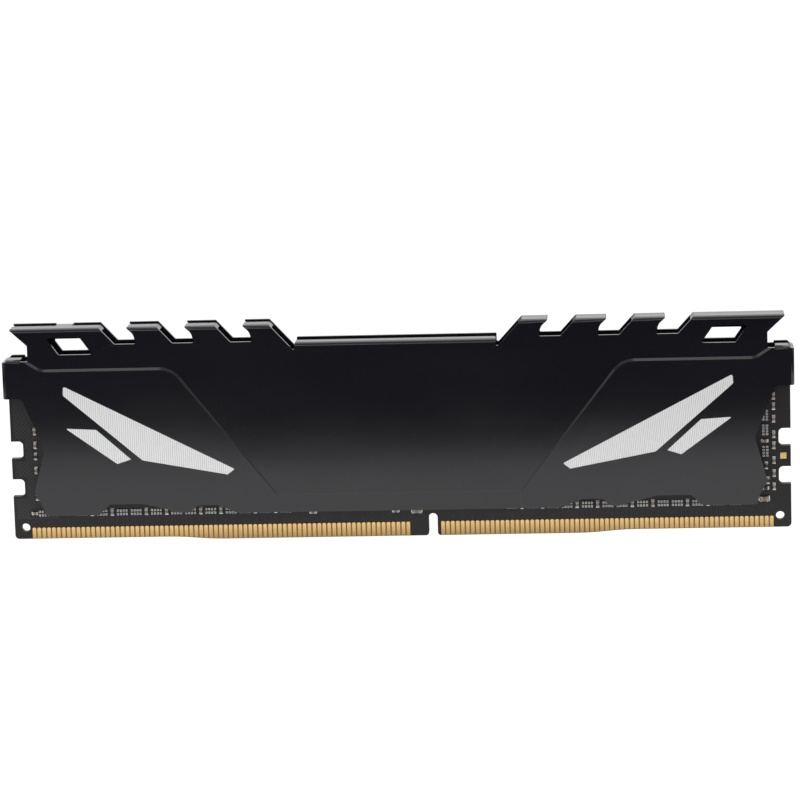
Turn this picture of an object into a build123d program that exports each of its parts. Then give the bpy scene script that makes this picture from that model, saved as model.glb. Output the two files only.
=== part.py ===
from build123d import *
import os
from math import radians, sqrt, tan

# DDR4 desktop memory module (288 contacts) under a two-piece stamped heat spreader.
# +X runs along the card from its first contact, the front faces -Y and +Z is up.
# The origin is on the card's mid-plane, halfway along it, at its lowest edge.
# All lengths are in millimetres.

# --- circuit board -------------------------------------------------------------
BOARD_HALF = 133.35 / 2          # half the length of the card
BOARD_TOP = 31.25                # height of the card
BOARD_FACE = 1.40 / 2            # half its thickness
EDGE_RISE = 0.5                  # how far the outer stretches of the card edge stand up
EDGE_FLAT = BOARD_HALF - 36.5    # half the length of the low middle stretch
EDGE_RUN = 10.2                  # length of the S-curve between the two levels
CORNER_RADIUS = 0.75
KEY_X = 72.25 - BOARD_HALF       # centre of the key slot
KEY_WIDTH = 1.5
KEY_HEIGHT = 3.85
KEY_MOUTH_RADIUS = 0.55
NOTCH_DEPTH = 2.05               # latch notches in both ends of the card
NOTCH_HEIGHT = 3.0
NOTCH_BOTTOMS = (8.0, 14.6)
TOOLING_HOLE_RADIUS = 0.75
TOOLING_HOLE_X = BOARD_HALF - 1.9
TOOLING_HOLE_Z = 2.45

# --- contacts ------------------------------------------------------------------
CONTACT_PITCH = 0.85
CONTACT_WIDTH = 0.60
CONTACT_TOP = 2.45
CONTACT_MARGIN = 0.10            # bare board below each contact
CONTACT_PLATING = 0.04
CONTACTS_BEFORE_KEY = 77
CONTACTS_AFTER_KEY = 67
CONTACT_END = 3.35               # first and last contact, from the ends of the card

# --- memory chips --------------------------------------------------------------
CHIP_WIDTH = 7.5
CHIP_HEIGHT = 11.0
CHIP_BODY = 0.8
CHIP_Z = 17.6
CHIP_FIRST_X = 22.9              # innermost chip of each half of the card
CHIP_PITCH = 9.4
CHIPS_PER_HALF = 4
SOLDER_HEIGHT = 0.3
SOLDER_INSET = 0.4               # how far the soldered area lies inside the package
CHIP_NEAR = BOARD_FACE + SOLDER_HEIGHT
CHIP_FAR = CHIP_NEAR + CHIP_BODY

# --- small parts on the board: length, width, thickness --------------------------
CHIP_PART_0402 = (1.0, 0.5, 0.5)
CHIP_PART_0603 = (1.6, 0.8, 0.8)
RESISTOR_0402 = (1.0, 0.5, 0.35)
ARRAY_SIZE = (2.0, 1.0, 0.45)    # four resistors side by side
ARRAY_PITCH = 0.5
SPD_SIZE = (3.0, 2.0, 0.75)
ROW_Z = 5.0                      # the row of parts on the data lines
ROW_SHIFT = -0.3                 # from the middles of the chips above it
ROW_STEP = 1.75
TEST_PAD_SIZE = 1.05

# --- heat spreader sheet ---------------------------------------------------------
SHEET = 0.6
FACE_Y = 2.75                    # outer face of the teeth, wings and middle panel
EMBOSS = 0.4                     # how far the side panels and ears stand out from it
RAISED_Y = FACE_Y + EMBOSS
BEND = 0.7                       # outer radius of the bend at the top
EAR_BEND = 0.7
LIP_REACH = 3.4                  # depth of the front sheet's flange on the teeth and wings
MIDDLE_LIP_REACH = 2.75          # and on the middle panel
BACK_LIP_REACH = 1.95            # the shorter flange that meets it from behind
PLATE_BOTTOM = 4.95
TOOTH_TOP = 37.4
TOOTH_ROOT = 34.5
MIDDLE_TOP = 34.25
BARE_RISE = 0.2                  # the back sheet's bare edges stand this much higher
MIDDLE_HALF = 17.08
VALLEY_Z = 33.05                 # the narrow V beside the middle panel
TOOTH_PITCH = 9.92
TOOTH_COUNT = 3
FIRST_ROOT_X = 44.2              # hooked side of the outermost tooth, at its root
HOOK = 1.75                      # how far a tooth leans out over its root
TOOTH_SLOPE = 2.66               # run of a tooth's straight side
TOOTH_GAP = 3.66                 # floor between two teeth
WING_TIP_X = 66.0
WING_SIDE_X = 62.85
EAR_INNER_X = 64.12
EAR_OUTER_X = 67.3
EAR_TOP = 32.15
EAR_CORNER = (0.9, 0.5)          # cut off the ear's upper corner: along X and down
EAR_BOTTOM = 25.4
EAR_MEET = 0.2                   # the two sheets' ears stop this short of the mid-plane
EAR_FLOOR = 31.8                 # bottom of the relief notch between wing and ear

# --- embossed panels -------------------------------------------------------------
PANEL_TOP = 30.4
PANEL_CORNER_X = 38.14
PANEL_CORNER_RADIUS = 4.7
PANEL_FOOT_X = 20.4
STRIP_TOP = 8.0                  # the low strip that runs under the middle panel
STRIP_STEP = 0.05                # how far that strip lies behind the side panels
HATCH_DEPTH = 0.05               # the bright hatched marks are machined this deep

# --- openings in the wings and the tab that locks the two sheets together ----------
HOLE_BOTTOM = 32.83
HOLE_X = 51.7
HOLE_LENGTH = 5.8
HOLE_HEIGHT = 2.94
BACK_HOLE_HEIGHTS = (2.05, 1.88) # of the back sheet's left and right openings
HOLE_LEAN = 0.7                  # run over rise of its slanted ends
TAB_X = -56.87
TAB_WIDTH = 2.83
TAB_CLEARANCE = 0.1

# --- thermal pads ------------------------------------------------------------------
PAD_HALF = 57.0
PAD_BOTTOM = 11.8
PAD_TOP = 23.4

FAR = 4.0                        # deeper than the whole module on either side
LOW = 3.0                        # below the sheet's lower edge


# --- drawing helpers ------------------------------------------------------------------
def rounded_outline(corners):
    """Closed face through (x, y, radius) corners; radius 0 leaves a corner sharp."""
    points = [Vector(x, y, 0) for x, y, _ in corners]
    radii = [radius for _, _, radius in corners]
    edges = []
    starts, ends, middles = [], [], []
    for i, point in enumerate(points):
        before = (point - points[i - 1]).normalized()
        after = (points[(i + 1) % len(points)] - point).normalized()
        half_turn = radians(before.get_angle(after)) / 2
        reach = radii[i] * tan(half_turn)
        starts.append(point - before * reach)
        ends.append(point + after * reach)
        inward = (after - before).normalized()
        rise = radii[i] * (sqrt(1 + tan(half_turn) ** 2) - 1)
        middles.append(point + inward * rise)
    for i, point in enumerate(points):
        if radii[i]:
            edges.append(ThreePointArc(starts[i], middles[i], ends[i]))
        following = (i + 1) % len(points)
        if (starts[following] - ends[i]).length > 1e-6:
            edges.append(Line(ends[i], starts[following]))
    return make_face(edges)


def slab(face, near, far):
    """Solid with a face drawn as (x, z), between two values of y."""
    return extrude(Pos(0, far, 0) * (Plane.XZ * face), far - near)


def beam(face, left, right):
    """Solid with a face drawn as (y, z), between two values of x."""
    return extrude(Pos(left, 0, 0) * (Plane.YZ * face), right - left)


def block(low, high):
    """Box between two corners."""
    size = [b - a for a, b in zip(low, high)]
    return Pos(*low) * Box(*size, align=(Align.MIN, Align.MIN, Align.MIN))


def both_ends(shape):
    """The shape and its mirror image at the other end of the card."""
    return [shape, mirror(shape, Plane.YZ)]


def on_side(shape, side):
    """A shape drawn for the front face, turned to the back when side is +1."""
    return shape if side < 0 else mirror(shape, Plane.XZ)


# --- circuit board --------------------------------------------------------------------
def edge_height(x):
    """Height of the card's lower edge: low in the middle, higher towards both ends."""
    run = min(max(abs(x) - EDGE_FLAT, 0), EDGE_RUN)
    radius = (EDGE_RUN ** 2 + EDGE_RISE ** 2) / (4 * EDGE_RISE)
    if run < EDGE_RUN / 2:
        return radius - sqrt(radius ** 2 - run ** 2)
    return EDGE_RISE - radius + sqrt(radius ** 2 - (EDGE_RUN - run) ** 2)


def edge_point(x):
    return (x, edge_height(x))


def edge_curve(direction):
    """The two arcs of the S-curve on one half of the lower edge, from the middle outwards."""
    stops = [direction * (EDGE_FLAT + EDGE_RUN * step / 4) for step in range(5)]
    inner = ThreePointArc(*[edge_point(x) for x in stops[:3]])
    outer = ThreePointArc(*[edge_point(x) for x in stops[2:]])
    return [inner, outer]


def board_face():
    right, left = edge_curve(1), edge_curve(-1)
    rim = Polyline(
        right[1] @ 1,
        (BOARD_HALF, EDGE_RISE),
        (BOARD_HALF, BOARD_TOP),
        (-BOARD_HALF, BOARD_TOP),
        (-BOARD_HALF, EDGE_RISE),
        left[1] @ 1,
    )
    face = make_face([Line(left[0] @ 0, right[0] @ 0), *right, rim, *left])
    face = fillet(face.vertices().filter_by(lambda v: abs(v.X) > BOARD_HALF - 1), CORNER_RADIUS)
    for bottom in NOTCH_BOTTOMS:
        for end in (-1, 1):
            face -= rounded_outline([
                (end * (BOARD_HALF - NOTCH_DEPTH), bottom, CORNER_RADIUS),
                (end * (BOARD_HALF + 1), bottom, 0),
                (end * (BOARD_HALF + 1), bottom + NOTCH_HEIGHT, 0),
                (end * (BOARD_HALF - NOTCH_DEPTH), bottom + NOTCH_HEIGHT, CORNER_RADIUS),
            ])
    key_radius = KEY_WIDTH / 2
    face -= Pos(KEY_X, KEY_HEIGHT - key_radius) * Circle(key_radius)
    face -= Pos(KEY_X, 0) * Rectangle(KEY_WIDTH, 2 * (KEY_HEIGHT - key_radius))
    mouth = face.vertices().filter_by(lambda v: abs(v.Y) < 0.01 and abs(v.X - KEY_X) < KEY_WIDTH)
    face = fillet(mouth, KEY_MOUTH_RADIUS)
    for end in (-1, 1):
        face -= Pos(end * TOOLING_HOLE_X, TOOLING_HOLE_Z) * Circle(TOOLING_HOLE_RADIUS)
    return face


def circuit_board():
    return slab(board_face(), -BOARD_FACE, BOARD_FACE)


def contact_positions():
    first = [CONTACT_END - BOARD_HALF + i * CONTACT_PITCH for i in range(CONTACTS_BEFORE_KEY)]
    last = [BOARD_HALF - CONTACT_END - i * CONTACT_PITCH for i in range(CONTACTS_AFTER_KEY)]
    return first + last[::-1]


def contacts(side):
    """One side's row of gold contacts, each with a rounded upper end."""
    pads = []
    for x in contact_positions():
        bottom = edge_height(x) + CONTACT_MARGIN
        face = rounded_outline([
            (x - CONTACT_WIDTH / 2, bottom, 0),
            (x + CONTACT_WIDTH / 2, bottom, 0),
            (x + CONTACT_WIDTH / 2, CONTACT_TOP, CONTACT_WIDTH / 3),
            (x - CONTACT_WIDTH / 2, CONTACT_TOP, CONTACT_WIDTH / 3),
        ])
        pads.append(on_side(slab(face, -BOARD_FACE - CONTACT_PLATING, -BOARD_FACE), side))
    return pads


# --- memory chips -----------------------------------------------------------------------
def chip_positions():
    half = [CHIP_FIRST_X + i * CHIP_PITCH for i in range(CHIPS_PER_HALF)]
    return [-x for x in half[::-1]] + half


def memory_chip(x, side):
    """Moulded package on its soldered area, with eased corners and a pin-one dimple."""
    body = slab(Pos(x, CHIP_Z) * RectangleRounded(CHIP_WIDTH, CHIP_HEIGHT, 0.12),
                -CHIP_FAR, -CHIP_NEAR)
    soldered = Rectangle(CHIP_WIDTH - 2 * SOLDER_INSET, CHIP_HEIGHT - 2 * SOLDER_INSET)
    body += slab(Pos(x, CHIP_Z) * soldered, -CHIP_NEAR, -BOARD_FACE)
    dimple_x = x - CHIP_WIDTH / 2 + 0.8
    dimple = slab(Pos(dimple_x, CHIP_Z + CHIP_HEIGHT / 2 - 0.8) * Circle(0.25),
                  -CHIP_FAR, -CHIP_FAR + 0.05)
    return on_side(body - dimple, side)


# --- small parts on the board -------------------------------------------------------------
def two_terminal(x, z, size, upright, side):
    """Chip capacitor or resistor: a body with slightly larger caps over its ends."""
    length, width, thickness = size
    cap, swell = length / 4, 0.02
    core = slab(Rectangle(length - 2 * swell, width - 2 * swell),
                -BOARD_FACE - thickness + swell, -BOARD_FACE)
    for end in (-1, 1):
        face = Pos(end * (length - cap) / 2, 0) * Rectangle(cap, width)
        core += slab(face, -BOARD_FACE - thickness, -BOARD_FACE)
    turned = Rot(0, 90 if upright else 0, 0) * core
    return on_side(Pos(x, 0, z) * turned, side)


def resistor_array(x, z, upright, side):
    """Four resistors on one ceramic body, with four terminals along each long side."""
    length, width, thickness = ARRAY_SIZE
    shape = slab(Rectangle(length, width - 0.2), -BOARD_FACE - thickness, -BOARD_FACE)
    for place in range(4):
        offset = (place - 1.5) * ARRAY_PITCH
        face = Pos(offset, 0) * Rectangle(ARRAY_PITCH * 0.6, width)
        shape += slab(face, -BOARD_FACE - thickness, -BOARD_FACE)
    turned = Rot(0, 90 if upright else 0, 0) * shape
    return on_side(Pos(x, 0, z) * turned, side)


def row_arrays(side):
    """Three arrays under each chip: one in the middle and one towards each neighbour."""
    places = [x + step * ROW_STEP for x in chip_positions() for step in (-2, 0, 2)]
    places += [-61.1, 57.5]
    return [resistor_array(x + ROW_SHIFT, ROW_Z, False, side) for x in places]


def row_capacitors(side):
    """Two capacitors between the arrays under each chip."""
    places = [x + step * ROW_STEP for x in chip_positions() for step in (-1, 1)]
    return [two_terminal(x + ROW_SHIFT, ROW_Z, CHIP_PART_0402, True, side) for x in places]


def right_edge_capacitors():
    heights = (7.55, 9.85, 12.1, 14.65, 16.55, 19.25, 21.4, 23.2)
    parts = [two_terminal(63.8, z, CHIP_PART_0402, True, -1) for z in heights]
    return parts + [two_terminal(62.25, 15.5, CHIP_PART_0402, False, -1)]


def termination_arrays():
    """Arrays that end the address lines, in a column beside the edge capacitors."""
    return [resistor_array(62.35, z, True, -1) for z in (13.7, 17.4, 19.95)]


def termination_resistors():
    """Single resistors below that column."""
    upright = [two_terminal(x, z, RESISTOR_0402, True, -1) for x, z in ((62.5, 11.2), (62.75, 8.6))]
    return upright + [two_terminal(62.3, 7.3, RESISTOR_0402, False, -1)]


def left_edge_capacitors():
    parts = [two_terminal(-62.5, z, CHIP_PART_0402, True, -1) for z in (12.5, 16.9, 19.3)]
    return parts + [two_terminal(-63.0, ROW_Z, CHIP_PART_0402, False, -1)]


def left_edge_resistors():
    return [two_terminal(-62.5, z, RESISTOR_0402, True, -1) for z in (7.85, 14.95)]


def bulk_capacitors():
    return [two_terminal(x, z, CHIP_PART_0603, False, -1) for x, z in ((2.8, 4.45), (62.1, 5.5))]


def middle_capacitors():
    places = ((-15.0, 4.45), (-0.8, 4.45))
    return [two_terminal(x, z, CHIP_PART_0402, False, -1) for x, z in places]


def chip_decoupling(side):
    """Capacitors above and below each chip, hidden by the heat spreader."""
    parts = []
    for x in chip_positions():
        for z in (CHIP_Z + CHIP_HEIGHT / 2 + 1.0, CHIP_Z - CHIP_HEIGHT / 2 - 1.0):
            for offset in (-2.4, 0, 2.4):
                parts.append(two_terminal(x + offset, z, CHIP_PART_0402, False, side))
    return parts


def back_edge_capacitors():
    places = [(end * 63.0, z) for end in (-1, 1) for z in (12.4, 16.4, 20.4)]
    return [two_terminal(x, z, CHIP_PART_0402, True, 1) for x, z in places]


def spd_chip():
    """The small memory that stores the module's timings."""
    length, width, thickness = SPD_SIZE
    face = Pos(0, CHIP_Z) * RectangleRounded(width, length, 0.1)
    return slab(face, -BOARD_FACE - thickness, -BOARD_FACE)


def test_pad():
    face = Pos(65.4, 12.85) * Rectangle(TEST_PAD_SIZE, TEST_PAD_SIZE)
    return slab(face, -BOARD_FACE - CONTACT_PLATING, -BOARD_FACE)


# --- heat spreader ----------------------------------------------------------------------
def bare_rise(reach):
    """How much higher a sheet's upper edge stands where it has no flange."""
    return 0 if reach else BARE_RISE


def upper_half_outline(middle_rise, teeth_rise):
    """Right half of the toothed upper edge, from the middle of the card outwards."""
    top = TOOTH_TOP + teeth_rise
    corners = [(MIDDLE_HALF, MIDDLE_TOP + middle_rise, 0.2), (MIDDLE_HALF, VALLEY_Z, 0.15)]
    valley_x = MIDDLE_HALF + 0.4
    slope = TOOTH_SLOPE / (TOOTH_TOP - TOOTH_ROOT)
    corners.append((valley_x, VALLEY_Z, 0.15))
    corners.append((valley_x + (top - VALLEY_Z) * slope, top, 0.2))
    for tooth in reversed(range(TOOTH_COUNT)):
        root = FIRST_ROOT_X - tooth * TOOTH_PITCH
        corners += [
            (root + HOOK, top, 0.15),
            (root + 0.35, TOOTH_ROOT + 1.7, 1.8),
            (root, TOOTH_ROOT, 0.25),
            (root + TOOTH_GAP, TOOTH_ROOT, 0.2),
            (root + TOOTH_GAP + (top - TOOTH_ROOT) * slope, top, 0.2),
        ]
    corners += [
        (WING_TIP_X, top, 0.15),
        (WING_SIDE_X, TOOTH_ROOT, 0.3),
        (WING_SIDE_X, EAR_FLOOR, 0.15),
        (EAR_INNER_X, EAR_FLOOR, 0.15),
        (EAR_INNER_X, EAR_TOP, 0.15),
    ]
    return corners


def lower_half_outline():
    """Right half of the ears, the waisted ends and the lower edge with its two windows."""
    return [
        (EAR_OUTER_X - EAR_CORNER[0], EAR_TOP, 0),
        (EAR_OUTER_X - 0.6 * EAR_CORNER[0], EAR_TOP - 0.8 * EAR_CORNER[1], 0),
        (EAR_OUTER_X, EAR_TOP - EAR_CORNER[1], 0),
        (EAR_OUTER_X, EAR_BOTTOM, 0.2),
        (64.15, EAR_BOTTOM, 0.9),
        (60.7, 17.1, 1.2),
        (60.7, 16.0, 1.2),
        (62.6, 9.0, 0.6),
        (61.25, 6.6, 0.8),
        (60.75, PLATE_BOTTOM, 0.25),
        (51.6, PLATE_BOTTOM, 0.8),
        (49.65, 6.8, 0.8),
        (43.9, 6.8, 2.0),
        (37.3, 5.15, 0.8),
        (36.2, 5.15, 0.8),
        (34.5, 6.4, 0.8),
        (31.0, 6.4, 2.0),
        (27.6, PLATE_BOTTOM, 2.0),
    ]


def spreader_face(left_rise, middle_rise, right_rise):
    right = upper_half_outline(middle_rise, right_rise) + lower_half_outline()
    left = upper_half_outline(middle_rise, left_rise) + lower_half_outline()
    mirrored = [(-x, z, radius) for x, z, radius in reversed(left)]
    return rounded_outline(right + mirrored)


def wall_profile(top, reach, low=LOW):
    """Section of one stretch of sheet: bare when reach is 0, otherwise bent over on top."""
    outer, inner, end = -FACE_Y, SHEET - FACE_Y, reach - FACE_Y
    if not reach:
        return rounded_outline([(outer, low, 0), (inner, low, 0), (inner, top, 0), (outer, top, 0)])
    return rounded_outline([
        (outer, low, 0),
        (inner, low, 0),
        (inner, top - SHEET, BEND - SHEET),
        (end, top - SHEET, 0),
        (end, top, 0),
        (outer, top, BEND),
    ])


def panel_face(inset):
    """Outline of the embossed right-hand panel, which runs out past the sheet's own edge."""
    face = rounded_outline([
        (PANEL_FOOT_X, LOW, 0),
        (66.0, LOW, 0),
        (66.0, EAR_TOP - EAR_BEND - 0.05, 0),
        (EAR_INNER_X, EAR_TOP - EAR_BEND - 0.05, 0),
        (EAR_INNER_X, EAR_TOP, 0),
        (63.43, EAR_TOP, 0),
        (60.65, PANEL_TOP, 2.0),
        (PANEL_CORNER_X, PANEL_TOP, PANEL_CORNER_RADIUS),
        (PANEL_FOOT_X, STRIP_TOP, 1.5),
    ])
    return offset(face, -inset * tan(radians(22.5))) if inset else face


def raised_panel(inset, far):
    """Embossed panel with a 45 degree bevel; inset measures in from its outer surface."""
    front = inset - RAISED_Y
    shape = slab(panel_face(inset), front, far)
    rim = shape.faces().sort_by(Axis.Y)[0].edges()
    bevelled = rim.filter_by(lambda e: e.center().X < 63.3 and e.center().Z > LOW + 0.5)
    return chamfer(bevelled, EMBOSS)


def middle_ramp(inset, far):
    """The middle panel leans out gently, to come nearly level with the side panels."""
    top, foot = inset - FACE_Y, inset - RAISED_Y + STRIP_STEP
    section = rounded_outline([
        (far, LOW, 0),
        (foot, LOW, 0),
        (foot, STRIP_TOP, 0),
        (foot + STRIP_STEP, STRIP_TOP + STRIP_STEP, 0),
        (top, PANEL_TOP, 0),
        (far, PANEL_TOP, 0),
    ])
    return beam(section, -PANEL_CORNER_X, PANEL_CORNER_X)


def ear(inset, near_lip):
    """Right-hand ear, bent back over the end of the card and, with a lip, over its top."""
    outer_x, top = EAR_OUTER_X - inset, EAR_TOP - inset
    front = inset - RAISED_Y
    if inset:
        low = (EAR_INNER_X - 2, front, EAR_BOTTOM - 3)
        high = (outer_x, FAR, top if near_lip else top + 2)
    else:
        low = (EAR_INNER_X, front, EAR_BOTTOM - 1)
        high = (outer_x, -EAR_MEET, top)
    shape = block(low, high)
    bends = shape.edges().filter_by(
        lambda e: abs(e.center().Y - front) < 0.01 and e.center().X > outer_x - 0.01)
    if near_lip:
        bends += shape.edges().filter_by(
            lambda e: abs(e.center().Y - front) < 0.01 and e.center().Z > top - 0.01)
    return fillet(bends, EAR_BEND - inset)


def hatch_outlines():
    """The two bright hatched marks on the right-hand panel."""
    long_mark = [(56.9, 27.5, 0.3), (57.0, 25.9, 0.5), (43.75, 14.4, 1.0), (29.2, 11.7, 0.15),
                 (28.0, 12.65, 0.15)]
    short_mark = [(56.75, 20.15, 0.1), (51.5, 19.85, 0.5), (45.7, 14.6, 0.1), (48.1, 13.85, 0.1)]
    return [rounded_outline(mark) for mark in (long_mark, short_mark)]


def wing_hole(height):
    """Slanted opening in the right-hand wing."""
    lean = HOLE_LEAN * height
    return rounded_outline([
        (HOLE_X, HOLE_BOTTOM, 0.2),
        (HOLE_X + HOLE_LENGTH, HOLE_BOTTOM, 0.2),
        (HOLE_X + HOLE_LENGTH + lean, HOLE_BOTTOM + height, 0.2),
        (HOLE_X + lean, HOLE_BOTTOM + height, 0.2),
    ])


def inner_space():
    """Everything between the front sheet's inner surface and the card's mid-plane."""
    space = block((-EAR_OUTER_X, SHEET - FACE_Y, LOW), (EAR_OUTER_X, 0, PANEL_TOP))
    for panel in both_ends(raised_panel(SHEET, 0)):
        space += panel
    return space + middle_ramp(SHEET, 0)


def sheet_body(left_reach, middle_reach, right_reach, near_lip):
    """One stamped sheet facing the front, before its holes are cut."""
    overhang = EAR_INNER_X - 0.2
    left_rise, middle_rise, right_rise = map(bare_rise, (left_reach, middle_reach, right_reach))
    middle = wall_profile(MIDDLE_TOP + middle_rise, middle_reach)
    shape = beam(middle, -MIDDLE_HALF, MIDDLE_HALF)
    for end, reach in ((-1, left_reach), (1, right_reach)):
        spans = ((MIDDLE_HALF, overhang, LOW), (overhang, WING_TIP_X + 1, EAR_TOP + 1))
        for near, far, low in spans:
            profile = wall_profile(TOOTH_TOP + bare_rise(reach), reach, low)
            shape += beam(profile, *sorted((end * near, end * far)))
    shape += middle_ramp(0, SHEET - FACE_Y)
    additions = both_ends(raised_panel(0, SHEET - FACE_Y)) + both_ends(ear(0, near_lip))
    for piece in additions:
        shape += piece
    for piece in both_ends(raised_panel(SHEET, -1.5)) + both_ends(ear(SHEET, near_lip)):
        shape -= piece
    shape -= middle_ramp(SHEET, -1.5)
    return shape & slab(spreader_face(left_rise, middle_rise, right_rise), -FAR, FAR)


def finish_sheet(shape, left_height, right_height):
    """Cut the wing holes and the shallow beds of the hatched marks."""
    cuts = [mirror(slab(wing_hole(left_height), -FAR, FAR), Plane.YZ)]
    cuts.append(slab(wing_hole(right_height), -FAR, FAR))
    for mark in hatch_outlines():
        cuts += both_ends(slab(mark, -FAR, HATCH_DEPTH - RAISED_Y))
    for cut in cuts:
        shape -= cut
    return shape


def tab_block(clearance, near, far, top):
    half = TAB_WIDTH / 2 + clearance
    low = (TAB_X - half, near, TOOTH_TOP - SHEET - clearance)
    return block(low, (TAB_X + half, far, top))


def front_heat_spreader():
    """Front sheet: a deep top flange all along and a tab that hooks over the back sheet."""
    shape = sheet_body(LIP_REACH, MIDDLE_LIP_REACH, LIP_REACH, True)
    tab = tab_block(0, LIP_REACH - FACE_Y - 0.1, FACE_Y, TOOTH_TOP)
    return finish_sheet(shape, HOLE_HEIGHT, HOLE_HEIGHT) + tab


def back_heat_spreader():
    """Back sheet: bare upper edges on the left and in the middle, a short flange on the right."""
    shape = finish_sheet(sheet_body(0, 0, BACK_LIP_REACH, False), *BACK_HOLE_HEIGHTS)
    shape = mirror(shape, Plane.XZ)
    return shape - tab_block(TAB_CLEARANCE, LIP_REACH - FACE_Y, FAR, TOOTH_TOP + FAR)


def thermal_pad(side):
    """Soft pad squeezed between the chips and the sheet."""
    strip = block((-PAD_HALF, -RAISED_Y, PAD_BOTTOM), (PAD_HALF, -CHIP_FAR, PAD_TOP))
    return on_side(strip & inner_space(), side)


# --- assembly --------------------------------------------------------------------------
def all_nodes():
    nodes = {"circuit_board": circuit_board()}
    for name, side in (("front", -1), ("back", 1)):
        nodes[name + "_contacts"] = contacts(side)
        for number, x in enumerate(chip_positions(), 1):
            nodes[f"{name}_memory_chip_{number}"] = memory_chip(x, side)
        nodes[name + "_data_resistor_arrays"] = row_arrays(side)
        nodes[name + "_data_capacitors"] = row_capacitors(side)
        nodes[name + "_chip_decoupling_capacitors"] = chip_decoupling(side)
        nodes[name + "_thermal_pad"] = thermal_pad(side)
    nodes["right_edge_capacitors"] = right_edge_capacitors()
    nodes["termination_resistor_arrays"] = termination_arrays()
    nodes["termination_resistors"] = termination_resistors()
    nodes["left_edge_capacitors"] = left_edge_capacitors()
    nodes["left_edge_resistors"] = left_edge_resistors()
    nodes["back_edge_capacitors"] = back_edge_capacitors()
    nodes["bulk_capacitors"] = bulk_capacitors()
    nodes["middle_capacitors"] = middle_capacitors()
    nodes["spd_chip"] = spd_chip()
    nodes["test_pad"] = test_pad()
    nodes["front_heat_spreader"] = front_heat_spreader()
    nodes["back_heat_spreader"] = back_heat_spreader()
    return nodes


os.makedirs("parts", exist_ok=True)
for node, shape in all_nodes().items():
    solids = shape if isinstance(shape, list) else [shape]
    pieces = [solid for item in solids for solid in item.solids()]
    export_step(Compound(children=pieces) if len(pieces) > 1 else pieces[0], f"parts/{node}.step")
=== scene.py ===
from math import cos, pi, radians, sin

import bmesh
import bpy
from mathutils import Matrix, Vector, noise


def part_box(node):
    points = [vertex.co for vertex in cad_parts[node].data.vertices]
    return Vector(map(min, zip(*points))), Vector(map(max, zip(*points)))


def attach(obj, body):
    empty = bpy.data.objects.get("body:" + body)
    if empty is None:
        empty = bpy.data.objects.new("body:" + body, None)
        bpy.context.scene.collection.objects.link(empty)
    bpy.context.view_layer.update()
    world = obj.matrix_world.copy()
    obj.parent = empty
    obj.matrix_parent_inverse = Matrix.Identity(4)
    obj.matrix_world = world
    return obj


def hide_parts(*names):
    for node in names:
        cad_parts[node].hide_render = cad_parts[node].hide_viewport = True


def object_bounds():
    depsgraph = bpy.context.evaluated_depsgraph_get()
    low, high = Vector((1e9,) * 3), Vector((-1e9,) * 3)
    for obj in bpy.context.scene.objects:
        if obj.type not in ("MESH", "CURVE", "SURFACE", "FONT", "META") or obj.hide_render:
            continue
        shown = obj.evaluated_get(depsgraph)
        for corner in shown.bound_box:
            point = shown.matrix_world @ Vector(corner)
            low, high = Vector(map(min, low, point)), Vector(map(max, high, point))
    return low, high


# Looks of a memory module: a keyed card with gold contacts under a black two-piece heat spreader.
# Lengths are named in millimetres and turned into Blender's metres by MM.
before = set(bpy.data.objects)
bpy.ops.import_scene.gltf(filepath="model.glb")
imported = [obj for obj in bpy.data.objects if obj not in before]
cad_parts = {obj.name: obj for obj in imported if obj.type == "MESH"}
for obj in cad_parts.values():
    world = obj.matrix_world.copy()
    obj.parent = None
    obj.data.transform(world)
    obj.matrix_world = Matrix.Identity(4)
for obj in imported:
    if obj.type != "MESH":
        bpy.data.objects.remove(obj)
cad_low, cad_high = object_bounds()
MM = 0.001

# --- camera and light ---------------------------------------------------------------------
CAMERA_AZIMUTH = 3.443           # degrees round the module from straight in front
CAMERA_ELEVATION = 10.0
CAMERA_ROLL = -1.65
CAMERA_DISTANCE = 622.5
CAMERA_AIM = (0.42, 0.0, 23.515)
CAMERA_LENS = 164.2

SKY_STRENGTH = 3.6
SKY_STOPS = (                    # degrees over the top from the front horizon, share of the light
    (5, 0.01), (11, 0.51), (18, 0.51), (26, 0.12), (66, 0.1),
    (80, 0.38), (92, 0.6), (106, 0.72), (132, 0.42), (166, 0.28),
)
SKY_SIDES = (0.6, 0.97, 1.0, 0.3)   # as a direction turns sideways, from 0.6 to 0.97, it gets darker
FLOOR_HALF = 3000.0
FLOOR_DROP = 0.01
FLOOR_GLOW = 0.98                # the pale floor is lit from within, as a light table is
FLOOR_GREY = 0.06
CARD_NEAR = 73.0                 # dark card round the module, for the black sheet to reflect
CARD_FADE = 35.0
CARD_LIFT = 0.5

# --- the details that the looks add ----------------------------------------------------------
WELD = 0.002                     # points nearer than this are one point
SHEET_EDGE = 0.09                # rounding of the sheet's cut edges
BOARD_EDGE = 0.08
CHIP_EDGE = 0.04
CONTACT_EDGE = 0.015
SIDE_PANEL = 24.0                # the side panels lie further from the middle than this
BED_DEPTH = 0.05                 # shallow beds of the bright marks
BED_REACH = 58.0                 # the beds lie nearer to the middle than this
BED_HEIGHTS = (10.0, 28.0)       # and between these heights
HATCH_PITCH = 0.36
GROOVE_WIDTH = 0.15
GROOVE_SLANT = 0.12              # how far a groove leans over its height on the right-hand marks
HATCH_RISE = 0.045
GOLD_SHADE_HEIGHTS = (0.2, 2.2)          # heights over which the gold goes from painted shade at the bottom to its full colour
SOLDER_RUN = 0.16                # how far a solder fillet runs out from its part
MASK_GAP = 0.1                   # the mask starts this far below the contacts' upper ends
PAD_STEP = 1.5                   # thermal pad: length of the stretches of its wavy long edges
PAD_WAVE = 0.35
PAD_EDGE = 0.16
CHIPS = range(1, 9)
TRACE_WIDTH = 0.13
TRACE_RISE = 0.014
TRACK_LENGTH = 2.5
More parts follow.
